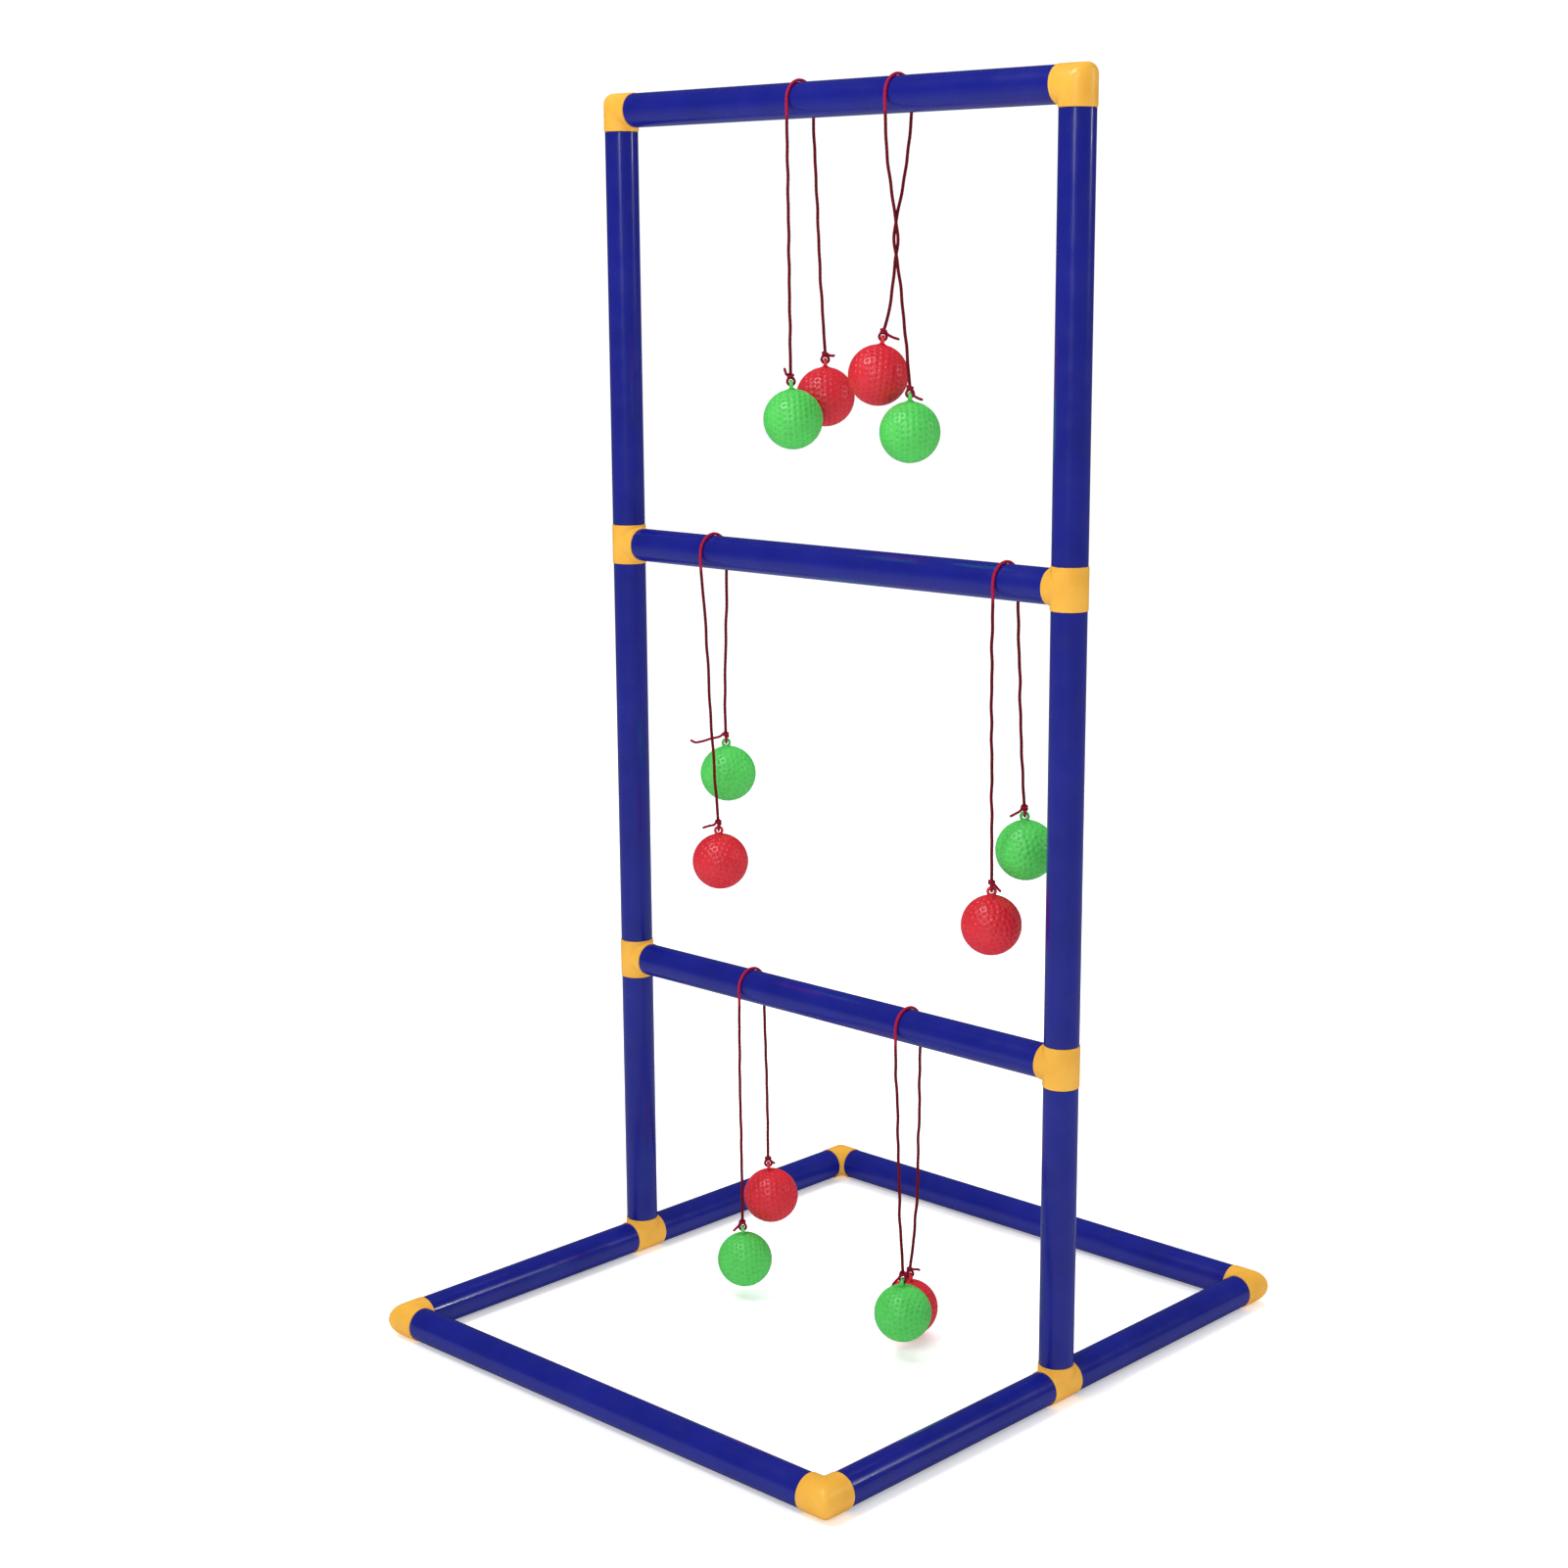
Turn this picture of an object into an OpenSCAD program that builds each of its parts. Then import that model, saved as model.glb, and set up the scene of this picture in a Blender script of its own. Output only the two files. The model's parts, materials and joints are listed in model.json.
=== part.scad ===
// Ladder toss frame: a push-fit tube ladder on a flat rectangular base, with six
// two-ball bolas hung over its rungs.
//
// Frame: X runs along the rungs, Y is the depth of the base and Z is up.
// The origin is on the floor, at the middle of the base.

/* [Frame] */
// Width between the two uprights, axis to axis
frame_w = 430; // [400:5:520]
// Depth of the base, from its front tube's axis to its back tube's
frame_d = 486; // [420:2:560]
// Height of the low rung's axis above the floor
low_rung_z = 250; // [250:1:320]
// Rise from the low rung to the middle rung
lower_rise = 333; // [290:1:380]
// Rise from the middle rung to the top rung
upper_rise = 325; // [290:1:380]

/* [Tubes] */
// Outside diameter of every tube
tube_d = 25; // [24:0.1:26]
// Wall thickness of every tube
tube_wall = 1.2; // [1:0.1:1.5]

/* [Fittings] */
// Outside diameter of the corner and tee fittings
fitting_d = 26.2; // [26.1:0.1:27]
// Distance from a fitting's centre to the rim that a tube butts on
collar = 15; // [14.5:0.5:20]
// Radius of the rounded rim
rim_round = 0.8; // [0.4:0.1:1.2]
// Radius of an elbow's rounded outer corner
corner_round = 6; // [4:0.5:8]
// Length of the spigot that plugs into a tube
spigot_l = 26; // [20:1:32]
// Radius of the passage through a fitting
passage_r = 9.3; // [8:0.1:9.5]
// Clearance on radius between a spigot and the tube
spigot_gap = 0.12; // [0.08:0.01:0.2]

/* [Bolas] */
// Ball diameter
ball_d = 42.7; // [40:0.1:43]
// Cord diameter
cord_d = 2.2; // [2:0.1:2.4]
// Clearance between a cord and the rung that it hangs over
drape_gap = 0.15; // [0.1:0.05:0.3]
// Distance from a ball's centre to its eyelet's centre
eyelet_rise = 24; // [23.5:0.1:24.5]
// Radius of the knot above an eyelet
knot_r = 2.4; // [2.2:0.1:2.8]

/* [Hidden] */
$fn = 96;

half_w = frame_w / 2;
half_d = frame_d / 2;
tube_r = tube_d / 2;
bore_r = tube_r - tube_wall;
fitting_r = fitting_d / 2;
base_z = fitting_r;
middle_rung_z = low_rung_z + lower_rise;
top_rung_z = middle_rung_z + upper_rise;
rung_z = [low_rung_z, middle_rung_z, top_rung_z];
LOW = 0;
MIDDLE = 1;
TOP = 2;

spigot_r = bore_r - spigot_gap;
spigot_lead = 1.5;
rib_proud = 0.06;
rib_w = 1.4;
rib_at = [0.3, 0.75];

cord_r = cord_d / 2;
drape_r = tube_r + drape_gap + cord_r;
ring_hole_r = 1.6;
ring_r = 3.7;
ring_half_w = 1;
ring_chamfer = 0.5;
neck_r = 2.4;
neck_top = 1.9;
ring_mid_r = (ring_hole_r + ring_r) / 2;
knot_rise = ring_r + knot_r + 0.2;

// Each bola: [rung, x of its cord on the rung, then its two ends].
// Each end: [colour, [x, y, drop below the rung] of the ball's centre, lean and turn of the
// eyelet, the cord's own points from the rung down to the knot, as [x, y, drop]].
// The first end hangs in front of the rung and the second behind it.
BOLAS = [
    [TOP, -30,
        ["green", [-19, -20.5, 221], [0, -3, 45], [[-26.5, -16.5, 66], [-24, -18.5, 117]]],
        ["red", [-25.5, 20.5, 207], [0, 0, 45], [[-29.5, 16.5, 66], [-28.5, 18.5, 117]]]],
    [TOP, 62,
        ["red", [44, 0, 189], [0, 7, 45], [[56.5, 0.5, 128], [52, 2, 146]]],
        ["green", [73.5, 0, 227.5], [0, 0, 45], [[64.5, 0, 128], [69.5, 0, 166]]]],
    [MIDDLE, -122,
        ["red", [-104.5, -14, 234.5], [2.5, 0, -45], [[-118, -14, 45], [-113, -14, 125]]],
        ["green", [-123, 14, 172.5], [3, 0, -45], [[-124, 14.5, 60], [-125.5, 14, 105]]]],
    [MIDDLE, 160.5,
        ["red", [162.5, -14, 238.5], [0, 0, -45], [[160.5, -14, 70], [162, -14.5, 138]]],
        ["green", [170, 14, 188.5], [2.5, 0, -45], [[162.5, 14.5, 73], [165.5, 14, 125]]]],
    [LOW, -86,
        ["green", [-82.5, -14, 219.5], [0, -3, 45], [[-86, -14, 70], [-84.5, -14.5, 134]]],
        ["red", [-80.5, 14, 173.5], [0, -4, 45], [[-84.5, 14, 70], [-83, 13.5, 110]]]],
    [LOW, 74,
        ["green", [87, -19.5, 214.5], [0, 0, 20], [[78.5, -16, 73], [83.5, -18.5, 149]]],
        ["red", [63.5, 15.5, 227.5], [0, 0, 60], [[72.5, 14.5, 81], [69, 15, 159]]]]
];

// The second bola's two halves wind once round each other on the way down.
TWISTED = 1;
twist_x = 60.3;
twist_r = 1.35;
twist_top = 82;
twist_drop = 32;
twist_from = -70;
twist_to = 180;
twist_steps = 10;

cord_sides = 8;
ring_step = 6.5;
drape_step = 12;

FITTING_COLOUR = "orange";
TUBE_COLOUR = "midnightblue";

SIDES = [["left", -1], ["right", 1]];

// ---- tubes ----

// A tube along +Z that runs from z = 0 to z = length.
module tube(length) {
    color(TUBE_COLOUR)
        difference() {
            cylinder(r = tube_r, h = length);
            translate([0, 0, -1]) cylinder(r = bore_r, h = length + 2);
        }
}

module tube_x(length) {
    translate([-length / 2, 0, 0]) rotate([0, 90, 0]) tube(length);
}

module tube_y(length) {
    translate([0, length / 2, 0]) rotate([90, 0, 0]) tube(length);
}

module base_cross_tube(side) {
    translate([0, side * half_d, base_z]) tube_x(frame_w - 2 * collar);
}

module base_side_tube(side, end) {
    translate([side * half_w, end * half_d / 2, base_z]) tube_y(half_d - 2 * collar);
}

module rung(level) {
    translate([0, 0, rung_z[level]]) tube_x(frame_w - 2 * collar);
}

module upright(side, level) {
    foot = level == LOW ? base_z : rung_z[level - 1];
    translate([side * half_w, 0, foot + collar])
        tube(rung_z[level] - foot - 2 * collar);
}

// ---- fittings ----

// Outline of one port: a collar with a rounded rim, then a ribbed spigot.
module port_outline() {
    square([fitting_r, collar - rim_round]);
    square([fitting_r - rim_round, collar]);
    translate([fitting_r - rim_round, collar - rim_round]) circle(r = rim_round);
    polygon([
        [0, collar - 1],
        [spigot_r, collar - 1],
        [spigot_r, collar + spigot_l - spigot_lead],
        [spigot_r - spigot_lead / 2, collar + spigot_l],
        [0, collar + spigot_l]
    ]);
    for (share = rib_at)
        translate([0, collar + share * spigot_l])
            square([spigot_r + rib_proud, rib_w]);
}

// One port along +Z, solid. It starts at the fitting's centre.
module port() {
    rotate_extrude() intersection() {
        port_outline();
        square([2 * fitting_r, 2 * (collar + spigot_l)]);
    }
}

module passage() {
    cylinder(r = passage_r, h = collar + spigot_l + 1);
}

// An elbow with one port along +X and the other along +Z. Its outer corner is at -X, -Z.
module elbow() {
    color(FITTING_COLOUR)
        difference() {
            union() {
                port();
                rotate([0, 90, 0]) port();
                intersection() {
                    cylinder(r = fitting_r, h = 2 * fitting_r, center = true);
                    rotate([0, 90, 0])
                        cylinder(r = fitting_r, h = 2 * fitting_r, center = true);
                }
            }
            passage();
            rotate([0, 90, 0]) passage();
            corner_cutter();
        }
}

// Takes the point off an elbow's outer corner, leaving it round.
module corner_cutter() {
    inset = fitting_r - corner_round;
    bite = 0.05;
    reach = corner_round + 2;
    translate([-inset, 0, -inset])
        rotate([90, 0, 0])
            difference() {
                translate([-reach, -reach, -fitting_r - 1])
                    cube([reach, reach, 2 * fitting_r + 2]);
                translate([0, 0, -fitting_r - 2])
                    cylinder(r = corner_round - bite, h = 2 * fitting_r + 4);
            }
}

// A tee whose run lies along Z and whose branch points along +X.
module tee() {
    color(FITTING_COLOUR)
        difference() {
            union() {
                port();
                mirror([0, 0, 1]) port();
                rotate([0, 90, 0]) port();
            }
            translate([0, 0, -(collar + spigot_l + 1)])
                cylinder(r = passage_r, h = 2 * (collar + spigot_l + 1));
            rotate([0, 90, 0]) passage();
        }
}

module base_corner(side, end) {
    // elbow() lies in the XZ plane: tip its Z port over to Y, then face both ports inwards
    translate([side * half_w, end * half_d, base_z])
        mirror([side > 0 ? 1 : 0, 0, 0])
            mirror([0, end > 0 ? 1 : 0, 0])
                rotate([-90, 0, 0]) elbow();
}

module base_tee(side) {
    // the run turns from Z to Y and the branch from X to Z
    translate([side * half_w, 0, base_z])
        rotate([90, 0, 0]) rotate([0, 0, 90]) tee();
}

module ladder_tee(side, level) {
    translate([side * half_w, 0, rung_z[level]])
        mirror([side > 0 ? 1 : 0, 0, 0]) tee();
}

module top_elbow(side) {
    translate([side * half_w, 0, top_rung_z])
        mirror([side > 0 ? 1 : 0, 0, 0])
            mirror([0, 0, 1]) elbow();
}

// ---- bolas ----

// Section of the eyelet's ring, with its corners taken off.
module ring_section() {
    inner = ring_hole_r;
    outer = ring_r;
    w = ring_half_w;
    c = ring_chamfer;
    polygon([
        [inner, -w + c], [inner + c, -w], [outer - c, -w], [outer, -w + c],
        [outer, w - c], [outer - c, w], [inner + c, w], [inner, w - c]
    ]);
}

// A ball hung from the origin, which is the centre of its eyelet's hole. The hole is along X.
module ball() {
    rotate([0, 90, 0]) rotate_extrude() ring_section();
    translate([0, 0, -ring_r]) cylinder(r = neck_r, h = ring_r - neck_top);
    translate([0, 0, -eyelet_rise]) sphere(d = ball_d);
}

// The way from a ball's centre to its eyelet, for a lean and turn of [about X, about Y, about Z].
function upward(turn) =
    let (x = cos(turn[0]) * sin(turn[1]), y = -sin(turn[0]))
    [
        x * cos(turn[2]) - y * sin(turn[2]),
        x * sin(turn[2]) + y * cos(turn[2]),
        cos(turn[0]) * cos(turn[1])
    ];

function eyelet(i, e) =
    let (end = BOLAS[i][e], at = end[1])
    [at[0], at[1], rung_z[BOLAS[i][0]] - at[2]] + eyelet_rise * upward(end[2]);

module at_eyelet(i, e) {
    translate(eyelet(i, e)) rotate(BOLAS[i][e][2]) children();
}

module bola_ball(i, e) {
    color(BOLAS[i][e][0]) at_eyelet(i, e) ball();
}

// A point on a smooth curve through a list of points, between points i and i + 1.
function curve_point(p, i, t) =
    let (
        a = p[max(i - 1, 0)],
        b = p[i],
        c = p[i + 1],
        d = p[min(i + 2, len(p) - 1)]
    )
    0.5 * (2 * b + (c - a) * t + (2 * a - 5 * b + 4 * c - d) * t * t
        + (3 * b - a - 3 * c + d) * t * t * t);

// The curve through a list of points, with a point about every ring_step.
function curve(p) = [
    for (i = [0:len(p) - 2])
        let (n = max(1, round(norm(p[i + 1] - p[i]) / ring_step)))
            for (k = [0:n - 1]) curve_point(p, i, k / n),
    p[len(p) - 1]
];

// The points where the two halves wind round each other, for the half that starts at an angle.
function twist_points(from) = [
    for (k = [0:twist_steps])
        let (share = k / twist_steps, angle = from + share * (twist_to - twist_from))
            [twist_x + twist_r * cos(angle), twist_r * sin(angle), twist_top + share * twist_drop]
];

// One half of a cord, from the side of the rung down into its knot.
function half_cord(i, e) =
    let (
        bola = BOLAS[i],
        side = e == 2 ? -1 : 1,
        top = rung_z[bola[0]],
        start = [bola[1], side * drape_r, 0],
        twist = i == TWISTED ? twist_points(twist_from + (e == 2 ? 0 : 180)) : [],
        down = concat([start, start + [0, 0, 8]], twist, bola[e][3]),
        knot = eyelet(i, e) + knot_rise * upward(bola[e][2])
    )
    curve(concat([for (p = down) [p[0], p[1], top - p[2]]], [knot]));

function backwards(list) = [for (i = [len(list) - 1:-1:0]) list[i]];

// A whole cord: up its front half, over the rung and down its back half.
function cord_route(i) =
    let (x = BOLAS[i][1], top = rung_z[BOLAS[i][0]])
    concat(
        backwards(half_cord(i, 2)),
        [for (a = [drape_step:drape_step:180 - drape_step])
            [x, -drape_r * cos(a), top + drape_r * sin(a)]],
        half_cord(i, 3)
    );

function unit(v) = v / norm(v);

// A round bar along a list of points that never runs along X.
module swept_bar(points, r) {
    last = len(points) - 1;
    skin = [
        for (i = [0:last])
            let (
                along = unit(points[min(i + 1, last)] - points[max(i - 1, 0)]),
                across = unit(cross([1, 0, 0], along)),
                up = cross(along, across)
            )
                for (k = [0:cord_sides - 1])
                    let (a = 360 * (k + 0.5) / cord_sides)
                        points[i] + r * (cos(a) * across + sin(a) * up)
    ];
    walls = [
        for (i = [0:last - 1], k = [0:cord_sides - 1])
            let (next = (k + 1) % cord_sides, a = i * cord_sides, b = a + cord_sides)
                each [[a + k, b + k, b + next], [a + k, b + next, a + next]]
    ];
    caps = [
        [for (k = [0:cord_sides - 1]) k],
        [for (k = [cord_sides - 1:-1:0]) last * cord_sides + k]
    ];
    polyhedron(points = skin, faces = concat(walls, caps), convexity = 8);
}

// The loop through an eyelet, whose hole is at the origin and along X, and the knot above it.
module loop_and_knot() {
    translate([0, 0, ring_mid_r])
        rotate([90, 0, 0]) rotate_extrude() translate([ring_mid_r, 0]) circle(r = cord_r);
    translate([0, 0, knot_rise]) sphere(r = knot_r);
}

module bola_cord(i) {
    color("crimson") {
        swept_bar(cord_route(i), cord_r);
        for (e = [2, 3]) at_eyelet(i, e) loop_and_knot();
    }
}

// ---- every node ----

base_cross_tube(-1);  // base_front_tube
base_cross_tube(1);  // base_back_tube
for (s = SIDES) {
    for (e = [["front", -1], ["back", 1]]) {
        base_side_tube(s[1], e[1]);
        base_corner(s[1], e[1]);
    }
    base_tee(s[1]);
    upright(s[1], LOW);
    upright(s[1], MIDDLE);
    upright(s[1], TOP);
    ladder_tee(s[1], LOW);
    ladder_tee(s[1], MIDDLE);
    top_elbow(s[1]);
}
rung(LOW);  // low_rung
rung(MIDDLE);  // middle_rung
rung(TOP);  // top_rung
for (i = [0:5]) {
    bola_cord(i);
    for (e = [2, 3])
        bola_ball(i, e);
}
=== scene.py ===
"""Ladder toss frame: blue tubes, yellow push-fit fittings and six two-ball bolas on the rungs."""
import json
import math

import bmesh
import bpy
import numpy as np
from mathutils import Matrix, Vector


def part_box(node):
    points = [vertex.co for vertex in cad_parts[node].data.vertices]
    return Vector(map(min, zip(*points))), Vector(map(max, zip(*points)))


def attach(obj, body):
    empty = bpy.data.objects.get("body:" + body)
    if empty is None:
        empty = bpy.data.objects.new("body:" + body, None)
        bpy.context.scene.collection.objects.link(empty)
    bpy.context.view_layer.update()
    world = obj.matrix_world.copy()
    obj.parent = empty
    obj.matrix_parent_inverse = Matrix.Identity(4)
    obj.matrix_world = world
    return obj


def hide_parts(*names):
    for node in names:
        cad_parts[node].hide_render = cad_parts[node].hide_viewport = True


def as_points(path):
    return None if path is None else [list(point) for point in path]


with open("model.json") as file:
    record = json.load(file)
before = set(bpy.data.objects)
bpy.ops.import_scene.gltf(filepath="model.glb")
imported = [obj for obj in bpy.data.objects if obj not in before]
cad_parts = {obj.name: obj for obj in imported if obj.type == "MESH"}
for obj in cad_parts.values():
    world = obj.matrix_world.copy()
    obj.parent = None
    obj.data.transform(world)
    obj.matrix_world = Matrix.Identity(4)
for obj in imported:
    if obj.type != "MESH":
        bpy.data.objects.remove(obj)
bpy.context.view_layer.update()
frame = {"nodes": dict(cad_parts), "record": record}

scene = bpy.context.scene
MM = 0.001
JOINTS = {j["name"]: j for j in frame["record"]["behaviour"]["joints"]}
SIDES = ("left", "right")
TURN = 2 * math.pi

# ---- sizes, in metres, as in the CAD model ----

TUBE_R = 12.5 * MM
BORE_R = 11.3 * MM
FITTING_R = 13.1 * MM
COLLAR = 15 * MM
RIM_ROUND = 0.8 * MM
CORNER_ROUND = 6 * MM
CREASE_ROUND = 1.1 * MM
PASSAGE_R = 9.3 * MM
SPIGOT_R = 11.18 * MM
RIB_R = 11.24 * MM
SPIGOT_L = 26 * MM
SPIGOT_LEAD = 1.5 * MM
TUBE_CHAMFER = 0.35 * MM

BALL_R = 21.35 * MM
CORD_D = 2.2 * MM
DRAPE_R = 13.75 * MM
KNOT_RISE = 6.3 * MM
RING_HOLE_R = 1.6 * MM
RING_R = 3.7 * MM
RING_HALF_W = 1.3 * MM


# ---- camera ----

def add_camera():
    """The photograph's view: a 60 mm lens, a little below the top rung, from the front right."""
    place = Vector((1.2733, -1.3845, 0.8012))
    azimuth, elevation, roll = 0.7629, 0.2176, -0.0065
    back = Vector((
        math.sin(azimuth) * math.cos(elevation),
        -math.cos(azimuth) * math.cos(elevation),
        math.sin(elevation),
    ))
    level = Vector((math.cos(azimuth), math.sin(azimuth), 0))
    above = back.cross(level)
    right = math.cos(roll) * level + math.sin(roll) * above
    up = back.cross(right)
    data = bpy.data.cameras.new("camera")
    data.sensor_width = 36
    data.lens = 59.75
    data.shift_y = 0.03
    data.clip_end = 100
    camera = bpy.data.objects.new("camera", data)
    camera.matrix_world = (
        Matrix.Translation(place) @ Matrix((right, up, back)).transposed().to_4x4())
    scene.collection.objects.link(camera)
    scene.camera = camera
    return level, back


VIEW_RIGHT, VIEW_BACK = add_camera()
VIEW_NEAR = Vector((VIEW_BACK.x, VIEW_BACK.y, 0)).normalized()


# ---- mesh helpers ----

SAME_POINT = 1e-6


def circle(r, count, phase=0.0):
    """(x, y) of points evenly round a circle."""
    return [
        (r * math.cos(TURN * (k + phase) / count), r * math.sin(TURN * (k + phase) / count))
        for k in range(count)]


def grid_faces(rows, columns, close_rows=False, close_columns=True, start=0):
    """Quads over a grid of points whose rows follow each other."""
    faces = []
    for i in range(rows if close_rows else rows - 1):
        for k in range(columns if close_columns else columns - 1):
            a, b = i * columns, (i + 1) % rows * columns
            n = (k + 1) % columns
            faces.append((start + a + k, start + b + k, start + b + n, start + a + n))
    return faces


def mesh_object(name, points, faces, sharp=40, merge=False):
    """A smooth-shaded object whose edges over an angle are sharp, with no loose points."""
    mesh = bpy.data.meshes.new(name)
    mesh.from_pydata([tuple(map(float, p)) for p in points], [], faces)
    bm = bmesh.new()
    bm.from_mesh(mesh)
    if merge:
        bmesh.ops.remove_doubles(bm, verts=bm.verts, dist=SAME_POINT)
        bmesh.ops.dissolve_degenerate(bm, edges=bm.edges, dist=SAME_POINT / 10)
    spare = [v for v in bm.verts if not v.link_faces]
    bmesh.ops.delete(bm, geom=spare, context="VERTS")
    bmesh.ops.recalc_face_normals(bm, faces=bm.faces)
    bm.to_mesh(mesh)
    bm.free()
    mesh.shade_smooth()
    mesh.set_sharp_from_angle(angle=math.radians(sharp))
    obj = bpy.data.objects.new(name, mesh)
    scene.collection.objects.link(obj)
    return obj


def frames_along(line):
    """Tangent, normal and binormal at each point of a line, with no twist between points."""
    tangents = np.gradient(line, axis=0)
    tangents /= np.linalg.norm(tangents, axis=1)[:, None]
    normals = np.zeros_like(line)
    normal = np.array((1.0, 0.0, 0.0))
    if abs(tangents[0] @ normal) > 0.8:
        normal = np.array((0.0, 1.0, 0.0))
    for i, t in enumerate(tangents):
        normal = normal - (normal @ t) * t
        normal /= np.linalg.norm(normal)
        normals[i] = normal
    return tangents, normals, np.cross(tangents, normals)


def smooth_line(points, step):
    """Points about step apart on one smooth curve through the given points."""
    p = np.array(points, float)
    d = np.linalg.norm(np.diff(p, axis=0), axis=1)
    slope = np.diff(p, axis=0) / d[:, None]
    tangent = np.empty_like(p)
    tangent[0], tangent[-1] = slope[0], slope[-1]
    weight = (d[1:] / (d[:-1] + d[1:]))[:, None]
    tangent[1:-1] = slope[:-1] * weight + slope[1:] * (1 - weight)
    out = []
    for i, gap in enumerate(d):
        n = max(1, round(gap / step))
        t = (np.arange(n) / n)[:, None]
        out.append(
            (1 + 2 * t) * (1 - t) ** 2 * p[i] + t * (1 - t) ** 2 * gap * tangent[i]
            + t * t * (3 - 2 * t) * p[i + 1] + t * t * (t - 1) * gap * tangent[i + 1])
    out.append(p[-1:])
    return np.concatenate(out)


def arc_lengths(line):
    """How far along a line each of its points is."""
    return np.concatenate(([0], np.cumsum(np.linalg.norm(np.diff(line, axis=0), axis=1))))


# ---- materials ----

class Nodes:
    """A short way to write a material's node tree."""

    def __init__(self, name):
        self.material = bpy.data.materials.new(name)
        self.material.use_nodes = True
        self.tree = self.material.node_tree
        self.shader = self.tree.nodes["Principled BSDF"]

    def add(self, kind, inputs=None, **settings):
        """A node, with its inputs set or linked."""
        node = self.tree.nodes.new("ShaderNode" + kind)
        for key, value in settings.items():
            setattr(node, key, value)
        for key, value in (inputs or {}).items():
            self.put(node.inputs[key], value)
        return node

    def put(self, socket, value):
        """Links a socket, or gives it a plain value."""
        if isinstance(value, bpy.types.NodeSocket):
            self.tree.links.new(value, socket)
        else:
            socket.default_value = value

    def set(self, **values):
        """Sets the main shader's inputs, by their names with underscores."""
        for key, value in values.items():
            self.put(self.shader.inputs[key.replace("_", " ")], value)

    def here(self, scale=(1, 1, 1)):
        """The piece's own coordinates, stretched."""
        place = self.add("TexCoord").outputs["Object"]
        return self.add("Mapping", {"Vector": place, "Scale": scale}).outputs["Vector"]

    def noise(self, scale, detail=3, roughness=0.5, stretch=(1, 1, 1)):
        """Soft noise over the piece, mostly between 0.3 and 0.7."""
        return self.add("TexNoise", {
            "Vector": self.here(stretch), "Scale": scale, "Detail": detail,
            "Roughness": roughness}).outputs["Fac"]

    def ramp(self, value, low, high, from_low=0.3, from_high=0.7):
        """A value mapped evenly from one range to another."""
        return self.add("MapRange", {
            "Value": value, "From Min": from_low, "From Max": from_high, "To Min": low,
            "To Max": high}).outputs["Result"]

    def mix(self, share, a, b):
        """Two colours mixed, by the Mix node's colour sockets."""
        node = self.add("Mix", data_type="RGBA")
        self.put(node.inputs[0], share)
        self.put(node.inputs[6], a)
        self.put(node.inputs[7], b)
        return node.outputs[2]

    def bump(self, height, distance, strength, under=None):
        inputs = {"Height": height, "Distance": distance, "Strength": strength}
        if under is not None:
            inputs["Normal"] = under
        return self.add("Bump", inputs).outputs["Normal"]


def rgb(r, g, b):
    return r, g, b, 1


def tube_material():
    """Deep blue gloss plastic, with faint draw lines along the tube and a few pale scuffs."""
    n = Nodes("blue_tube")
    cloud = n.noise(18, 2)
    lines = n.noise(900, 2, stretch=(1, 1, 0.012))
    skin = n.noise(700, 2)
    base = n.mix(n.ramp(cloud, 0, 1), rgb(0.0040, 0.0075, 0.175), rgb(0.0065, 0.0105, 0.218))
    scuff = n.ramp(n.noise(420, 4, 0.7, (1, 1, 0.25)), 0, 0.5, 0.735, 0.80)
    n.set(
        Base_Color=n.mix(scuff, base, rgb(0.16, 0.19, 0.45)),
        Roughness=n.ramp(n.noise(60, 4), 0.18, 0.28),
        Specular_IOR_Level=0.5,
        Coat_Weight=0.4,
        Coat_Roughness=0.06,
        Normal=n.bump(lines, 0.02 * MM, 0.35, n.bump(skin, 0.015 * MM, 0.25)),
    )
    return n.material


def fitting_material():
    """Yellow-orange moulded plastic with slow flow marks and a fine orange-peel skin."""
    n = Nodes("yellow_fitting")
    flow = n.noise(45, 3, 0.55, (1, 0.5, 1))
    base = n.mix(n.ramp(flow, 0, 1), rgb(0.71, 0.350, 0.032), rgb(0.79, 0.415, 0.047))
    wear = n.ramp(n.noise(300, 4, 0.65), 0, 0.35, 0.70, 0.80)
    n.set(
        Base_Color=n.mix(wear, base, rgb(0.84, 0.54, 0.18)),
        Roughness=n.ramp(n.noise(90, 3), 0.3, 0.42),
        Specular_IOR_Level=0.4,
        Subsurface_Weight=0.12,
        Subsurface_Radius=(1.0, 0.5, 0.12),
        Subsurface_Scale=1.5 * MM,
        Normal=n.bump(n.noise(520, 3), 0.03 * MM, 0.4),
    )
    return n.material


def ball_material(name, low, high, glow):
    """Soft-gloss moulded plastic that lets a little light in."""
    n = Nodes(name)
    cloud = n.noise(60, 3, 0.55)
    speck = n.ramp(n.noise(900, 3, 0.6), 0, 0.4, 0.68, 0.78)
    n.set(
        Base_Color=n.mix(speck, n.mix(n.ramp(cloud, 0, 1), low, high), glow),
        Roughness=n.ramp(n.noise(140, 3), 0.26, 0.38),
        Specular_IOR_Level=0.5,
        Subsurface_Weight=0.25,
        Subsurface_Radius=tuple(min(1.0, 0.15 + c) for c in high[:3]),
        Subsurface_Scale=2.5 * MM,
        Normal=n.bump(n.noise(700, 3), 0.03 * MM, 0.3),
    )
    return n.material


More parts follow.
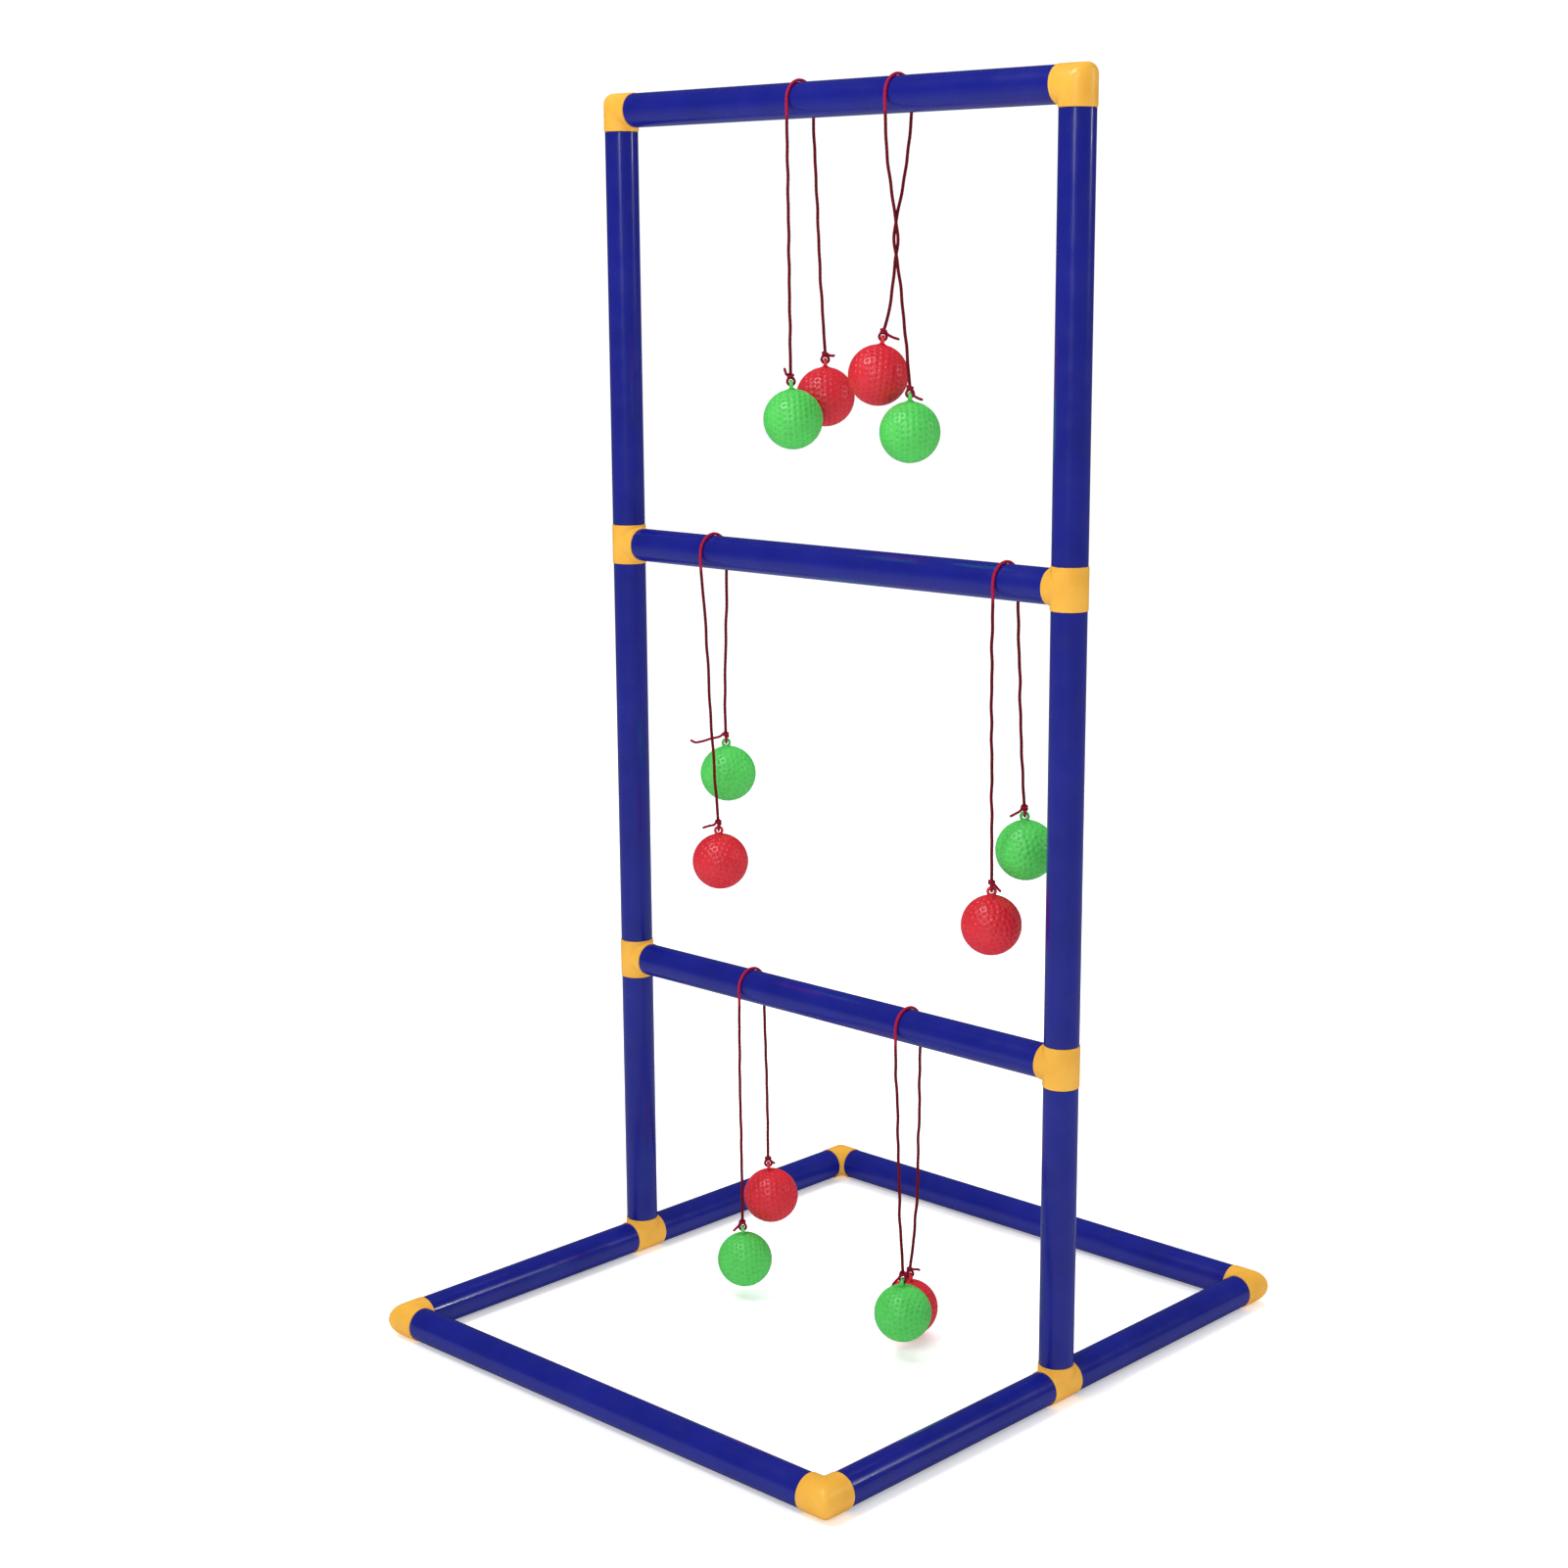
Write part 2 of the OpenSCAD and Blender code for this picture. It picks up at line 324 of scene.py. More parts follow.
def cord_material():
    """Maroon braid with painted shade in its grooves, a darker shaded copy of its colour on the
    hanging strands, and a brighter lit copy painted where it lies over the rung and on its knots.
    """
    n = Nodes("crimson_cord")
    # painted shade: the cord's colour goes darker where the plait is low, in the grooves between
    # the strands
    height = n.ramp(n.add("Attribute", attribute_name="plait").outputs["Fac"], 0, 1, 0.35, 0.95)
    cloud = n.ramp(n.noise(260, 4), 0, 0.45)
    # painted shade: a darker copy of the cord's colour, for the hanging strands
    shaded_copy = n.mix(height, rgb(0.020, 0.0004, 0.0014), rgb(0.190, 0.0030, 0.010))
    shaded_copy = n.mix(cloud, shaded_copy, rgb(0.075, 0.0012, 0.0045))
    # painted light: a brighter copy of the cord's colour, where it lies over the rung and on the
    # knots
    painted_light = n.mix(height, rgb(0.10, 0.003, 0.016), rgb(0.50, 0.012, 0.062))
    painted_light = n.mix(cloud, painted_light, rgb(0.30, 0.008, 0.040))
    n.set(
        Base_Color=n.mix(n.add("Attribute", attribute_name="painted_light").outputs["Fac"], shaded_copy, painted_light),
        Roughness=0.72,
        Specular_IOR_Level=0.1,
        Sheen_Weight=0.02,
        Sheen_Roughness=0.4,
        Sheen_Tint=rgb(1.0, 0.35, 0.42),
        Normal=n.bump(n.noise(2600, 2), 0.06 * MM, 0.5),
    )
    return n.material


CORD = cord_material()
TUBE = tube_material()
FITTING = fitting_material()
BALLS = {
    "green": ball_material(
        "green_ball", rgb(0.068, 0.50, 0.080), rgb(0.090, 0.58, 0.102), rgb(0.20, 0.68, 0.20)),
    "red": ball_material(
        "red_ball", rgb(0.55, 0.013, 0.024), rgb(0.63, 0.020, 0.035), rgb(0.74, 0.08, 0.10)),
}


# ---- cords ----

# Each bola's two ends, the first in front of its rung and the second behind it: (the ball's
# colour, the cord's points on the way down as (x, y, drop below the rung's axis), and the knot's
# free tail as (right, up, near) in the photograph's view).
ENDS = {
    1: [
        ("green", [(-0.0265, -0.0165, 0.066), (-0.024, -0.0185, 0.117)],
         [(-0.0028, 0.0012, 0.0010), (-0.0040, 0.0042, 0.0012), (-0.0046, 0.0062, 0.0012)]),
        ("red", [(-0.0295, 0.0165, 0.066), (-0.0285, 0.0185, 0.117)],
         [(0.0028, -0.0006, 0.0012), (0.0050, -0.0010, 0.0018), (0.0072, -0.0008, 0.0020)]),
    ],
    2: [
        ("red", [(0.0565, 0.0005, 0.128), (0.052, 0.002, 0.146)],
         [(0.0030, -0.0022, 0.0010), (0.0068, -0.0042, 0.0018), (0.0112, -0.0056, 0.0020)]),
        ("green", [(0.0645, 0.0, 0.128), (0.0695, 0.0, 0.166)],
         [(0.0026, -0.0050, 0.0020), (0.0056, -0.0068, 0.0028), (0.0090, -0.0080, 0.0030)]),
    ],
    3: [
        ("red", [(-0.118, -0.014, 0.045), (-0.113, -0.014, 0.125)],
         [(-0.0028, -0.0014, 0.0010), (-0.0072, -0.0024, 0.0016), (-0.0122, -0.0040, 0.0016)]),
        ("green", [(-0.124, 0.0145, 0.060), (-0.1255, 0.014, 0.105)],
         [(-0.0045, -0.0014, -0.0004), (-0.0108, -0.0030, -0.0008), (-0.0200, -0.0056, -0.0008),
          (-0.0232, -0.0060, -0.0006), (-0.0275, -0.0040, -0.0004)]),
    ],
    4: [
        ("red", [(0.1605, -0.014, 0.070), (0.162, -0.0145, 0.138)],
         [(0.0026, -0.0020, 0.0016), (0.0046, -0.0044, 0.0022), (0.0064, -0.0062, 0.0024)]),
        ("green", [(0.1625, 0.0145, 0.073), (0.1655, 0.014, 0.125)],
         [(-0.0026, -0.0018, 0.0010), (-0.0066, -0.0042, 0.0014), (-0.0104, -0.0062, 0.0014)]),
    ],
    5: [
        ("green", [(-0.086, -0.014, 0.070), (-0.0845, -0.0145, 0.134)],
         [(-0.0028, -0.0018, 0.0014), (-0.0052, -0.0044, 0.0018), (-0.0074, -0.0066, 0.0018)]),
        ("red", [(-0.0845, 0.014, 0.070), (-0.083, 0.0135, 0.110)],
         [(0.0020, -0.0022, -0.0020), (0.0040, -0.0044, -0.0032), (0.0056, -0.0058, -0.0040)]),
    ],
    6: [
        ("green", [(0.0785, -0.016, 0.073), (0.0835, -0.0185, 0.149)],
         [(-0.0026, -0.0014, 0.0016), (-0.0056, -0.0046, 0.0022), (-0.0080, -0.0076, 0.0022)]),
        ("red", [(0.0725, 0.0145, 0.081), (0.069, 0.015, 0.159)],
         [(0.0028, 0.0002, 0.0004), (0.0056, 0.0002, 0.0004), (0.0080, -0.0006, 0.0004)]),
    ],
}

# The second bola's two halves wind round each other on the way down: the middle of the twist
# along the rung, its radius, where it starts below the rung, how far down it goes, and the
# angles in degrees that the front half turns from and to.
TWISTED = 2
TWIST_X = 0.0603
TWIST_R = 0.00135
TWIST_TOP = 0.082
TWIST_DROP = 0.032
TWIST_FROM = -70
TWIST_TO = 180
TWIST_STEPS = 10
DRAPE_STEP = 12                   # degrees between a cord's points over its rung
DRAPE_DOWN = 0.008                # how far a cord hangs straight down beside its rung
CORD_STEP = 0.45 * MM
KNOT_STEP = 0.35 * MM
PATH_SKIP = 6                     # every sixth point of a cord is put in a list, which nothing keeps

PLAITS = 4
PLAIT_LEAD = 6.5 * MM
PLAIT_DEPTH = 0.2
PLAIT_MEAN = 0.94                 # a braid's mean radius as a share of its highest
PLAIT_SWELL = 0.22                # how much a strand rises and dips as it goes over and under
CORD_TIP = 0.02                   # the square of a cut end's radius as a share of its cord's
# Painted light: a cord is coloured lighter near its top, where it lies over the rung and the light
# from above falls on it.
PAINTED_LIGHT_DROP = 28 * MM              # how far below its highest point a cord gets the painted light
PAINTED_LIGHT_FADE = 4 * MM
KNOT_CORD_R = 1.0 * MM
# The knots get part of the painted light, so that they look brighter and redder.
KNOT_PAINTED_LIGHT = 0.45
CORD_SIDES = 24
KNOT_SIDES = 20

# Kinks from being kept folded: the wave lengths, the least and most height of a wave in mm,
# how far from the top of the rung they start, and the length that they grow over.
KINK_WAVES = (0.021, 0.034, 0.057)
KINK_SIZE = (0.08, 0.2)
KINK_START = 0.024
KINK_FADE = 0.03

# A knot: the loop through the eyelet as (along the hole, sideways, up) in mm from the hole's
# centre, then turns round the cord between two heights.
LOOP = (
    (0, 0, 5.6), (-1.5, -0.1, 4.9), (-2.45, -0.1, 3.7), (-2.6, 0, 2.3), (-1.75, 0, 0.75),
    (0, 0, 0.05), (1.75, 0, 0.75), (2.6, 0, 2.3), (2.4, 0.2, 3.6))
WRAP_R = 1.75 * MM
WRAP_LOW = 4.7 * MM
WRAP_RISE = 3.0 * MM
WRAP_START = math.radians(10)
WRAP_STEPS = 18


class Eyelet:
    """The place and directions of one ball's eyelet, from the frame."""

    def __init__(self, bola, colour):
        joint = JOINTS[f"bola_{bola}_{colour}_tilt"]
        low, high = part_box(f"bola_{bola}_{colour}_ball")
        self.centre = Vector(((low[0] + high[0]) / 2, (low[1] + high[1]) / 2, low[2] + BALL_R))
        self.at = Vector(joint["pos_m"])
        self.hole = Vector(joint["axis"]).normalized()
        up = self.at - self.centre
        self.up = (up - up.dot(self.hole) * self.hole).normalized()
        self.side = self.up.cross(self.hole)
        self.knot = self.at + KNOT_RISE * self.up
        self.matrix = Matrix((self.hole, self.side, self.up)).transposed().to_4x4()
        self.matrix.translation = self.at


def twist_points(start):
    """The points where one half winds round the other, from its starting angle."""
    points = []
    for k in range(TWIST_STEPS + 1):
        share = k / TWIST_STEPS
        a = math.radians(start + share * (TWIST_TO - TWIST_FROM))
        drop = TWIST_TOP + share * TWIST_DROP
        points.append((TWIST_X + TWIST_R * math.cos(a), TWIST_R * math.sin(a), drop))
    return points


def half_route(bola, end, side, saddle, height, knot):
    """From the side of the rung, -1 for its front, down into a knot."""
    down = [(saddle, side * DRAPE_R, 0), (saddle, side * DRAPE_R, DRAPE_DOWN)]
    if bola == TWISTED:
        down += twist_points(TWIST_FROM if side < 0 else TWIST_FROM + 180)
    return [(x, y, height - drop) for x, y, drop in down + end[1]] + [tuple(knot)]


def cord_route(bola, eyelets):
    """A whole cord: up its front half, over the rung and down its back half."""
    saddle, _, height = JOINTS[f"bola_{bola}_swing"]["pos_m"]
    front, back = (
        half_route(bola, end, side, saddle, height, eye.knot)
        for end, side, eye in zip(ENDS[bola], (-1, 1), eyelets))
    over = [
        (saddle, -DRAPE_R * math.cos(a), height + DRAPE_R * math.sin(a))
        for a in (math.radians(d) for d in range(DRAPE_STEP, 180, DRAPE_STEP))]
    return front[::-1] + over + back


def plait(s, a):
    """Height, 0 to 1, of a round braid at a length and an angle on it."""
    p = PLAITS * a + TURN * s / PLAIT_LEAD
    q = PLAITS * a - TURN * s / PLAIT_LEAD
    over = np.cos(p) * np.cos(q)
    right = np.sqrt(np.abs(np.cos(p))) * (1 - PLAIT_SWELL + PLAIT_SWELL * over)
    left = np.sqrt(np.abs(np.cos(q))) * (1 - PLAIT_SWELL - PLAIT_SWELL * over)
    return np.maximum(right, left)


def cord_piece(name, line, radius, painted_light, sides):
    """A braided bar along a line, with domed ends. Painted light, 0 to 1, makes it brighter where
    it is high.
    """
    _, normal, binormal = frames_along(line)
    s = arc_lengths(line)
    a = np.arange(sides) / sides * TURN
    height = plait(s[:, None], a[None, :])
    from_end = np.minimum(s, s[-1] - s)
    dome = np.sqrt(np.clip(1 - (1 - np.minimum(from_end / radius, 1)) ** 2, CORD_TIP, 1))
    r = radius * dome[:, None] * (1 - PLAIT_DEPTH + PLAIT_DEPTH * height)
    points = (
        line[:, None, :] + (r * np.cos(a))[..., None] * normal[:, None, :]
        + (r * np.sin(a))[..., None] * binormal[:, None, :]).reshape(-1, 3)
    rows = len(line)
    faces = grid_faces(rows, sides)
    faces.append(tuple(range(sides)))
    faces.append(tuple(reversed(range((rows - 1) * sides, rows * sides))))
    obj = mesh_object(name, points, faces, sharp=80)
    for label, values in (("plait", height.ravel()), ("painted_light", np.repeat(painted_light, sides))):
        attribute = obj.data.attributes.new(label, "FLOAT", "POINT")
        attribute.data.foreach_set("value", values.astype(np.float32))
    obj.data.materials.append(CORD)
    return obj


def sway(line, seed):
    """Adds a folded cord's small kinks, which fade towards its ends and the rung."""
    s = arc_lengths(line)
    from_end = np.minimum(s, s[-1] - s)
    from_rung = np.abs(s - s[np.argmax(line[:, 2])]) - KINK_START
    fade = np.clip(np.minimum(from_end, from_rung) / KINK_FADE, 0, 1)
    rng = np.random.default_rng(seed)
    out = line.copy()
    for axis in (0, 1):
        for wave in KINK_WAVES:
            phase, size = rng.uniform(0, TURN), rng.uniform(*KINK_SIZE) * MM
            out[:, axis] += fade * size * np.sin(TURN * s / wave + phase)
    return out


def knot_line(eye, tail):
    """A loop through the eyelet, one to two turns round the cord above it, and the free tail."""
    points = [eye.matrix @ (Vector(p) * MM) for p in LOOP]
    ways = [
        right * VIEW_RIGHT + up * Vector((0, 0, 1)) + near * VIEW_NEAR
        for right, up, near in tail]
    leave = math.atan2(ways[0].dot(eye.side), ways[0].dot(eye.hole)) - math.pi / 2
    sweep = (leave - WRAP_START) % TURN + TURN
    for k in range(WRAP_STEPS + 1):
        share = k / WRAP_STEPS
        a = WRAP_START + share * sweep
        points.append(eye.matrix @ Vector((
            WRAP_R * math.cos(a), WRAP_R * math.sin(a), WRAP_LOW + share * WRAP_RISE)))
    points += [eye.knot + way for way in ways]
    return smooth_line([tuple(p) for p in points], KNOT_STEP)


def add_bola(bola, ends):
    """One cord and its two knots, all on the bola's own body."""
    body = f"bola_{bola}"
    eyelets = [Eyelet(bola, end[0]) for end in ends]
    line = sway(smooth_line(cord_route(bola, eyelets), CORD_STEP), seed=bola)
    # Painted light: the cord's colour is made lighter near its top, over the rung.
    painted_light = np.clip((line[:, 2] - line[:, 2].max() + PAINTED_LIGHT_DROP) / PAINTED_LIGHT_FADE, 0, 1)
    radius = CORD_D / 2 / PLAIT_MEAN
    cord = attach(cord_piece(f"{body}_braided_cord", line, radius, painted_light, CORD_SIDES), body)
    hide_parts(f"{body}_cord")
    for (colour, _, tail), eye in zip(ends, eyelets):
        wrap = knot_line(eye, tail)
        # Painted light: the knots are made partly lighter too.
        painted_light = np.full(len(wrap), KNOT_PAINTED_LIGHT)
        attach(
            cord_piece(f"{body}_{colour}_knot", wrap, KNOT_CORD_R, painted_light, KNOT_SIDES), body)
    tuple(eyelets[0].at)
    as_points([tuple(p) for p in line[::PATH_SKIP]] + [tuple(line[-1])])


for bola, ends in ENDS.items():
    add_bola(bola, ends)


# ---- tubes ----

FACETS = 72
TUBE_BAYS = 4


def add_tube(node, body):
    """A tube along its CAD node's longest side, open-ended, with its cut edges eased."""
    low, high = map(Vector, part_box(node))
    size = high - low
    axis = max(range(3), key=lambda i: size[i])
    length = size[axis]
    profile = [
        (TUBE_R - TUBE_CHAMFER, 0), (TUBE_R, TUBE_CHAMFER),
        *((TUBE_R, length * k / TUBE_BAYS) for k in range(1, TUBE_BAYS)),
        (TUBE_R, length - TUBE_CHAMFER), (TUBE_R - TUBE_CHAMFER, length),
        (BORE_R, length), (BORE_R, 0)]
    points = [(x, y, z) for r, z in profile for x, y in circle(r, FACETS)]
    tube = mesh_object(f"{node}_drawn", points, grid_faces(len(profile), FACETS, close_rows=True))
    direction = Vector([float(i == axis) for i in range(3)])
    start = (low + high) / 2 - direction * length / 2
    turned = direction.to_track_quat("Z", "Y").to_matrix().to_4x4()
    tube.matrix_world = Matrix.Translation(start) @ turned
    tube.data.materials.append(TUBE)
    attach(tube, body)
    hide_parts(node)


for node in frame["nodes"]:
    if node.endswith(("_tube", "_rung", "_upright")):
        add_tube(node, "base" if node.startswith("base") else "ladder")


# ---- fittings ----

COLLAR_END = COLLAR - RIM_ROUND   # where a collar's straight side gives way to its rounded rim
PORT_END = COLLAR + SPIGOT_L
RIBS = (0.3, 0.75)                # places of a spigot's two ribs along it
RIB_W = 1.4 * MM
CREASE_SPARE = 0.01 * MM          # a crease stops this far short of the collar's end
ELBOW_CREASE = COLLAR_END - FITTING_R - 0.1 * MM
ELBOW_PASSAGE_ROUNDS = (0.5 * MM, 2 * MM)
ELBOW_BLEND = 1.5                 # how late an elbow's inner crease opens into its outer corner
TEE_PASSAGE_CREASE = 0.4 * MM


def port_profile():
    """(radius, distance) from the end of a collar's straight side to its passage's mouth."""
    rim = [
        (FITTING_R - RIM_ROUND + RIM_ROUND * math.cos(a), COLLAR_END + RIM_ROUND * math.sin(a))
        for a in (math.radians(d) for d in range(0, 91, 15))]
    spigot = [(SPIGOT_R, COLLAR)]
    for share in RIBS:
        at = COLLAR + share * SPIGOT_L
        spigot += [(SPIGOT_R, at), (RIB_R, at), (RIB_R, at + RIB_W), (SPIGOT_R, at + RIB_W)]
    return rim + spigot + [
        (SPIGOT_R, PORT_END - SPIGOT_LEAD), (SPIGOT_R - SPIGOT_LEAD / 2, PORT_END),
        (PASSAGE_R, PORT_END)]


def bend_section(c, crease, far):
    """(x, z) down one line, round a corner at (c, c) and along another, ending at far."""
    turn = [
        (c + crease * (1 - math.cos(a)), c + crease * (1 - math.sin(a)))
        for a in (math.radians(d) for d in range(0, 91, 10))]
    return [(c, far)] + turn + [(far, c)]


def port(to_space):
    """The rings of a port: to_space turns (across, along Y, height) into a point."""
    return [[to_space(a, b, h) for a, b in circle(r, FACETS)] for r, h in port_profile()]


def port_x():
    return port(lambda a, b, h: (h, b, a))


def port_z(up):
    return port(lambda a, b, h: (a, b, up * h))


def elbow_object():
    """An elbow with ports along +X and +Z, its outer corner rounded more than its inner one."""

    def sheet(r, far, inner_round, outer_round):
        columns = []
        for c, y in circle(r, FACETS):
            share = (1 - c / r) / 2
            rho = inner_round + (outer_round - inner_round) * share ** ELBOW_BLEND
            columns.append([(x, y, z) for x, z in bend_section(c, rho, far)])
        return [list(row) for row in zip(*columns)]

    skin = sheet(FITTING_R, COLLAR_END, ELBOW_CREASE, CORNER_ROUND)
    passage = sheet(PASSAGE_R, PORT_END, *ELBOW_PASSAGE_ROUNDS)
    rows = skin[:-1] + port_x() + passage[::-1][1:-1] + port_z(1)[::-1][:-1]
    points = [p for row in rows for p in row]
    faces = grid_faces(len(rows), FACETS, close_rows=True)
    return mesh_object("elbow", points, faces, merge=True)


def tee_object():
    """A tee whose run lies along Z and whose branch points along +X.

    Its skin and its passage are sheets that bend from the branch up and down the run, with a
    plain half pipe behind them.
    """
    points, faces = [], []

    def add(rows, close):
        faces.extend(grid_faces(len(rows), len(rows[0]), close_columns=close, start=len(points)))
        points.extend(p for row in rows for p in row)

    quarter = FACETS // 4
    for r, far, crease in (
            (FITTING_R, COLLAR_END, CREASE_ROUND), (PASSAGE_R, PORT_END, TEE_PASSAGE_CREASE)):
        for up in (1, -1):
            columns = []
            for k in range(-quarter, quarter + 1):
                a = TURN * k / FACETS
                c = max(r * math.cos(a), 0)
                rho = min(crease, far - c - CREASE_SPARE) * math.sqrt(c / r)
                columns.append([
                    (x, r * math.sin(a), up * z) for x, z in bend_section(c, rho, far)])
            add([list(row) for row in zip(*columns)], False)
        back = circle(r, FACETS)[quarter:3 * quarter + 1]
        add([[(x, y, h) for x, y in back] for h in (far, 0, -far)], False)
    for rings in (port_x(), port_z(1), port_z(-1)):
        add(rings, True)
    return mesh_object("tee", points, faces, merge=True)


def place_fitting(source, node, body, first, second):
    """A copy of a fitting, its X port turned to one direction and its Z port to another."""
    x, z = Vector(first), Vector(second)
    low, high = map(Vector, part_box(node))
    centre = Vector()
    for i in range(3):
        if x[i] or (z[i] and source.name == "elbow"):
            centre[i] = high[i] - PORT_END if x[i] + z[i] > 0 else low[i] + PORT_END
        else:
            centre[i] = (low[i] + high[i]) / 2
    piece = bpy.data.objects.new(f"{node}_moulded", source.data)
    scene.collection.objects.link(piece)
    turned = Matrix((x, z.cross(x), z)).transposed().to_4x4()
    piece.matrix_world = Matrix.Translation(centre) @ turned
    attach(piece, body)
    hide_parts(node)


elbow, tee = elbow_object(), tee_object()
for source in (elbow, tee):
    source.data.materials.append(FITTING)
for side, inward in zip(SIDES, ((1, 0, 0), (-1, 0, 0))):
    for end, way in (("front", 1), ("back", -1)):
        place_fitting(elbow, f"{end}_{side}_corner", "base", inward, (0, way, 0))
    place_fitting(tee, f"base_{side}_tee", "base", (0, 0, 1), (0, 1, 0))
    for level in ("low", "middle"):
        place_fitting(tee, f"{side}_{level}_tee", "ladder", inward, (0, 0, 1))
    place_fitting(elbow, f"{side}_top_elbow", "ladder", inward, (0, 0, -1))
for source in (elbow, tee):
    bpy.data.objects.remove(source)


# ---- balls ----

DIMPLE_ROWS = 8                   # on each side of the seam
DIMPLE_GAP = 4.25 * MM
DIMPLE_R = 1.4 * MM
DIMPLE_DEPTH = 0.75 * MM
DIMPLE_RINGS = ((0, 1), (0.45, 6), (0.85, 10), (1.1, 10))   # shares of its radius, and points
DIMPLE_SPIN = 0.37                # radians that the rows turn by from one ball to the next
NECK_CLEAR = 4.6 * MM
SEAM_HALF = 0.4 * MM
SEAM_PROUD = 0.06 * MM
SEAM_POINTS = 150

EYELET_SIDES = 36
RING_SOFT = 0.55 * MM
# The flare from the ring down into the ball: (radius, height from the hole's centre) in mm.
FOOT = (
    (1.45, -1.75), (1.9, -1.95), (2.2, -2.2), (2.5, -2.45), (2.95, -2.68), (3.6, -2.86),
    (3.6, -3.5), (1.45, -3.5))


def dimple_middles(spin):
    """The directions of a ball's dimples, in rows round the X axis, clear of its neck."""
    for k in range(DIMPLE_ROWS):
        latitude = (k + 0.5) * math.pi / 2 / DIMPLE_ROWS
        count = max(3, round(TURN * BALL_R * math.cos(latitude) / DIMPLE_GAP))
        for side in (-1, 1):
            for i in range(count):
                turn = TURN * (i + 0.5 * (k % 2) + 0.25 * side) / count + spin * (k + 1)
                middle = np.array((
                    side * math.sin(latitude),
                    math.cos(latitude) * math.cos(turn), math.cos(latitude) * math.sin(turn)))
                if math.acos(np.clip(middle[2], -1, 1)) * BALL_R >= NECK_CLEAR:
                    yield middle


def ball_points(spin):
    """Points over a unit ball, and each one's distance from the ball's centre."""
    points, radii = [], []
    for middle in dimple_middles(spin):
        across = np.cross(middle, (1.0, 0.0, 0.0))
        across /= np.linalg.norm(across)
        up = np.cross(middle, across)
        for share, count in DIMPLE_RINGS:
            reach = share * DIMPLE_R / BALL_R
            for c, s in circle(1, count, phase=0.5 * (count == 6)):
                points.append(middle * math.cos(reach) + (across * c + up * s) * math.sin(reach))
                radii.append(BALL_R - DIMPLE_DEPTH * max(0, 1 - share ** 2))
    for offset in (-1, 0, 1):
        tilt = offset * SEAM_HALF / BALL_R
        for c, s in circle(1, SEAM_POINTS, phase=0.5 * (offset == 0)):
            points.append(np.array((math.sin(tilt), math.cos(tilt) * c, math.cos(tilt) * s)))
            radii.append(BALL_R + (SEAM_PROUD if offset == 0 else 0))
    return np.array(points), np.array(radii)


def hull_faces(points):
    """The faces that join points on a ball, as the corners' numbers."""
    bm = bmesh.new()
    corners = [bm.verts.new(p) for p in points]
    bm.verts.index_update()
    bmesh.ops.convex_hull(bm, input=corners, use_existing_faces=False)
    bm.verts.index_update()
    faces = [tuple(v.index for v in f.verts) for f in bm.faces]
    kept = len(bm.verts)
    bm.free()
    assert kept == len(points)
    return faces


def eyelet_mesh():
    """The moulded ring, round its hole along X, and the flared foot that joins it to the ball."""
    middle = (RING_HOLE_R + RING_R) / 2
    half_h = (RING_R - RING_HOLE_R) / 2
    section = []
    for corner, (sx, sy) in enumerate(((1, 1), (-1, 1), (-1, -1), (1, -1))):
        for d in range(0, 91, 30):
            a = math.radians(d + 90 * corner)
            section.append((
                sx * (RING_HALF_W - RING_SOFT) + RING_SOFT * math.cos(a),
                middle + sy * (half_h - RING_SOFT) + RING_SOFT * math.sin(a)))
    points = [(x, r * c, r * s) for c, s in circle(1, EYELET_SIDES) for x, r in section]
    faces = grid_faces(EYELET_SIDES, len(section), close_rows=True)
    first = len(points)
    points += [(x, y, z * MM) for r, z in FOOT for x, y in circle(r * MM, EYELET_SIDES)]
    last = len(points) - EYELET_SIDES
    faces += grid_faces(len(FOOT), EYELET_SIDES, start=first)
    faces.append(tuple(range(first, first + EYELET_SIDES)))
    faces.append(tuple(range(last + EYELET_SIDES - 1, last - 1, -1)))
    return points, faces


def add_ball(bola, colour, number):
    """A dimpled ball with its eyelet, on the body that tilts at that end of the cord."""
    eye = Eyelet(bola, colour)
    directions, radii = ball_points(spin=DIMPLE_SPIN * number)
    faces = hull_faces(directions)
    drop = (eye.at - eye.centre).length
    points = [tuple(p * r - np.array((0, 0, drop))) for p, r in zip(directions, radii)]
    eyelet, eyelet_faces = eyelet_mesh()
    faces += [tuple(len(points) + i for i in f) for f in eyelet_faces]
    ball = mesh_object(f"bola_{bola}_{colour}_dimpled", points + eyelet, faces, sharp=60)
    ball.matrix_world = eye.matrix
    ball.data.materials.append(BALLS[colour])
    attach(ball, f"bola_{bola}_{colour}_end")
    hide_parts(f"bola_{bola}_{colour}_ball")


for number, (bola, end) in enumerate((b, e) for b, ends in ENDS.items() for e in ends):
    add_ball(bola, end[0], number)


# ---- floor and light ----

FLOOR_R = 30
FLOOR_GLOW = (0.34, 0.56)         # the floor's own light, at the two distances from the middle
FLOOR_REACH = (0.7, 3.5)
WHITE = rgb(1, 1, 1)
MIDDLE = (0, 0, 0.45)


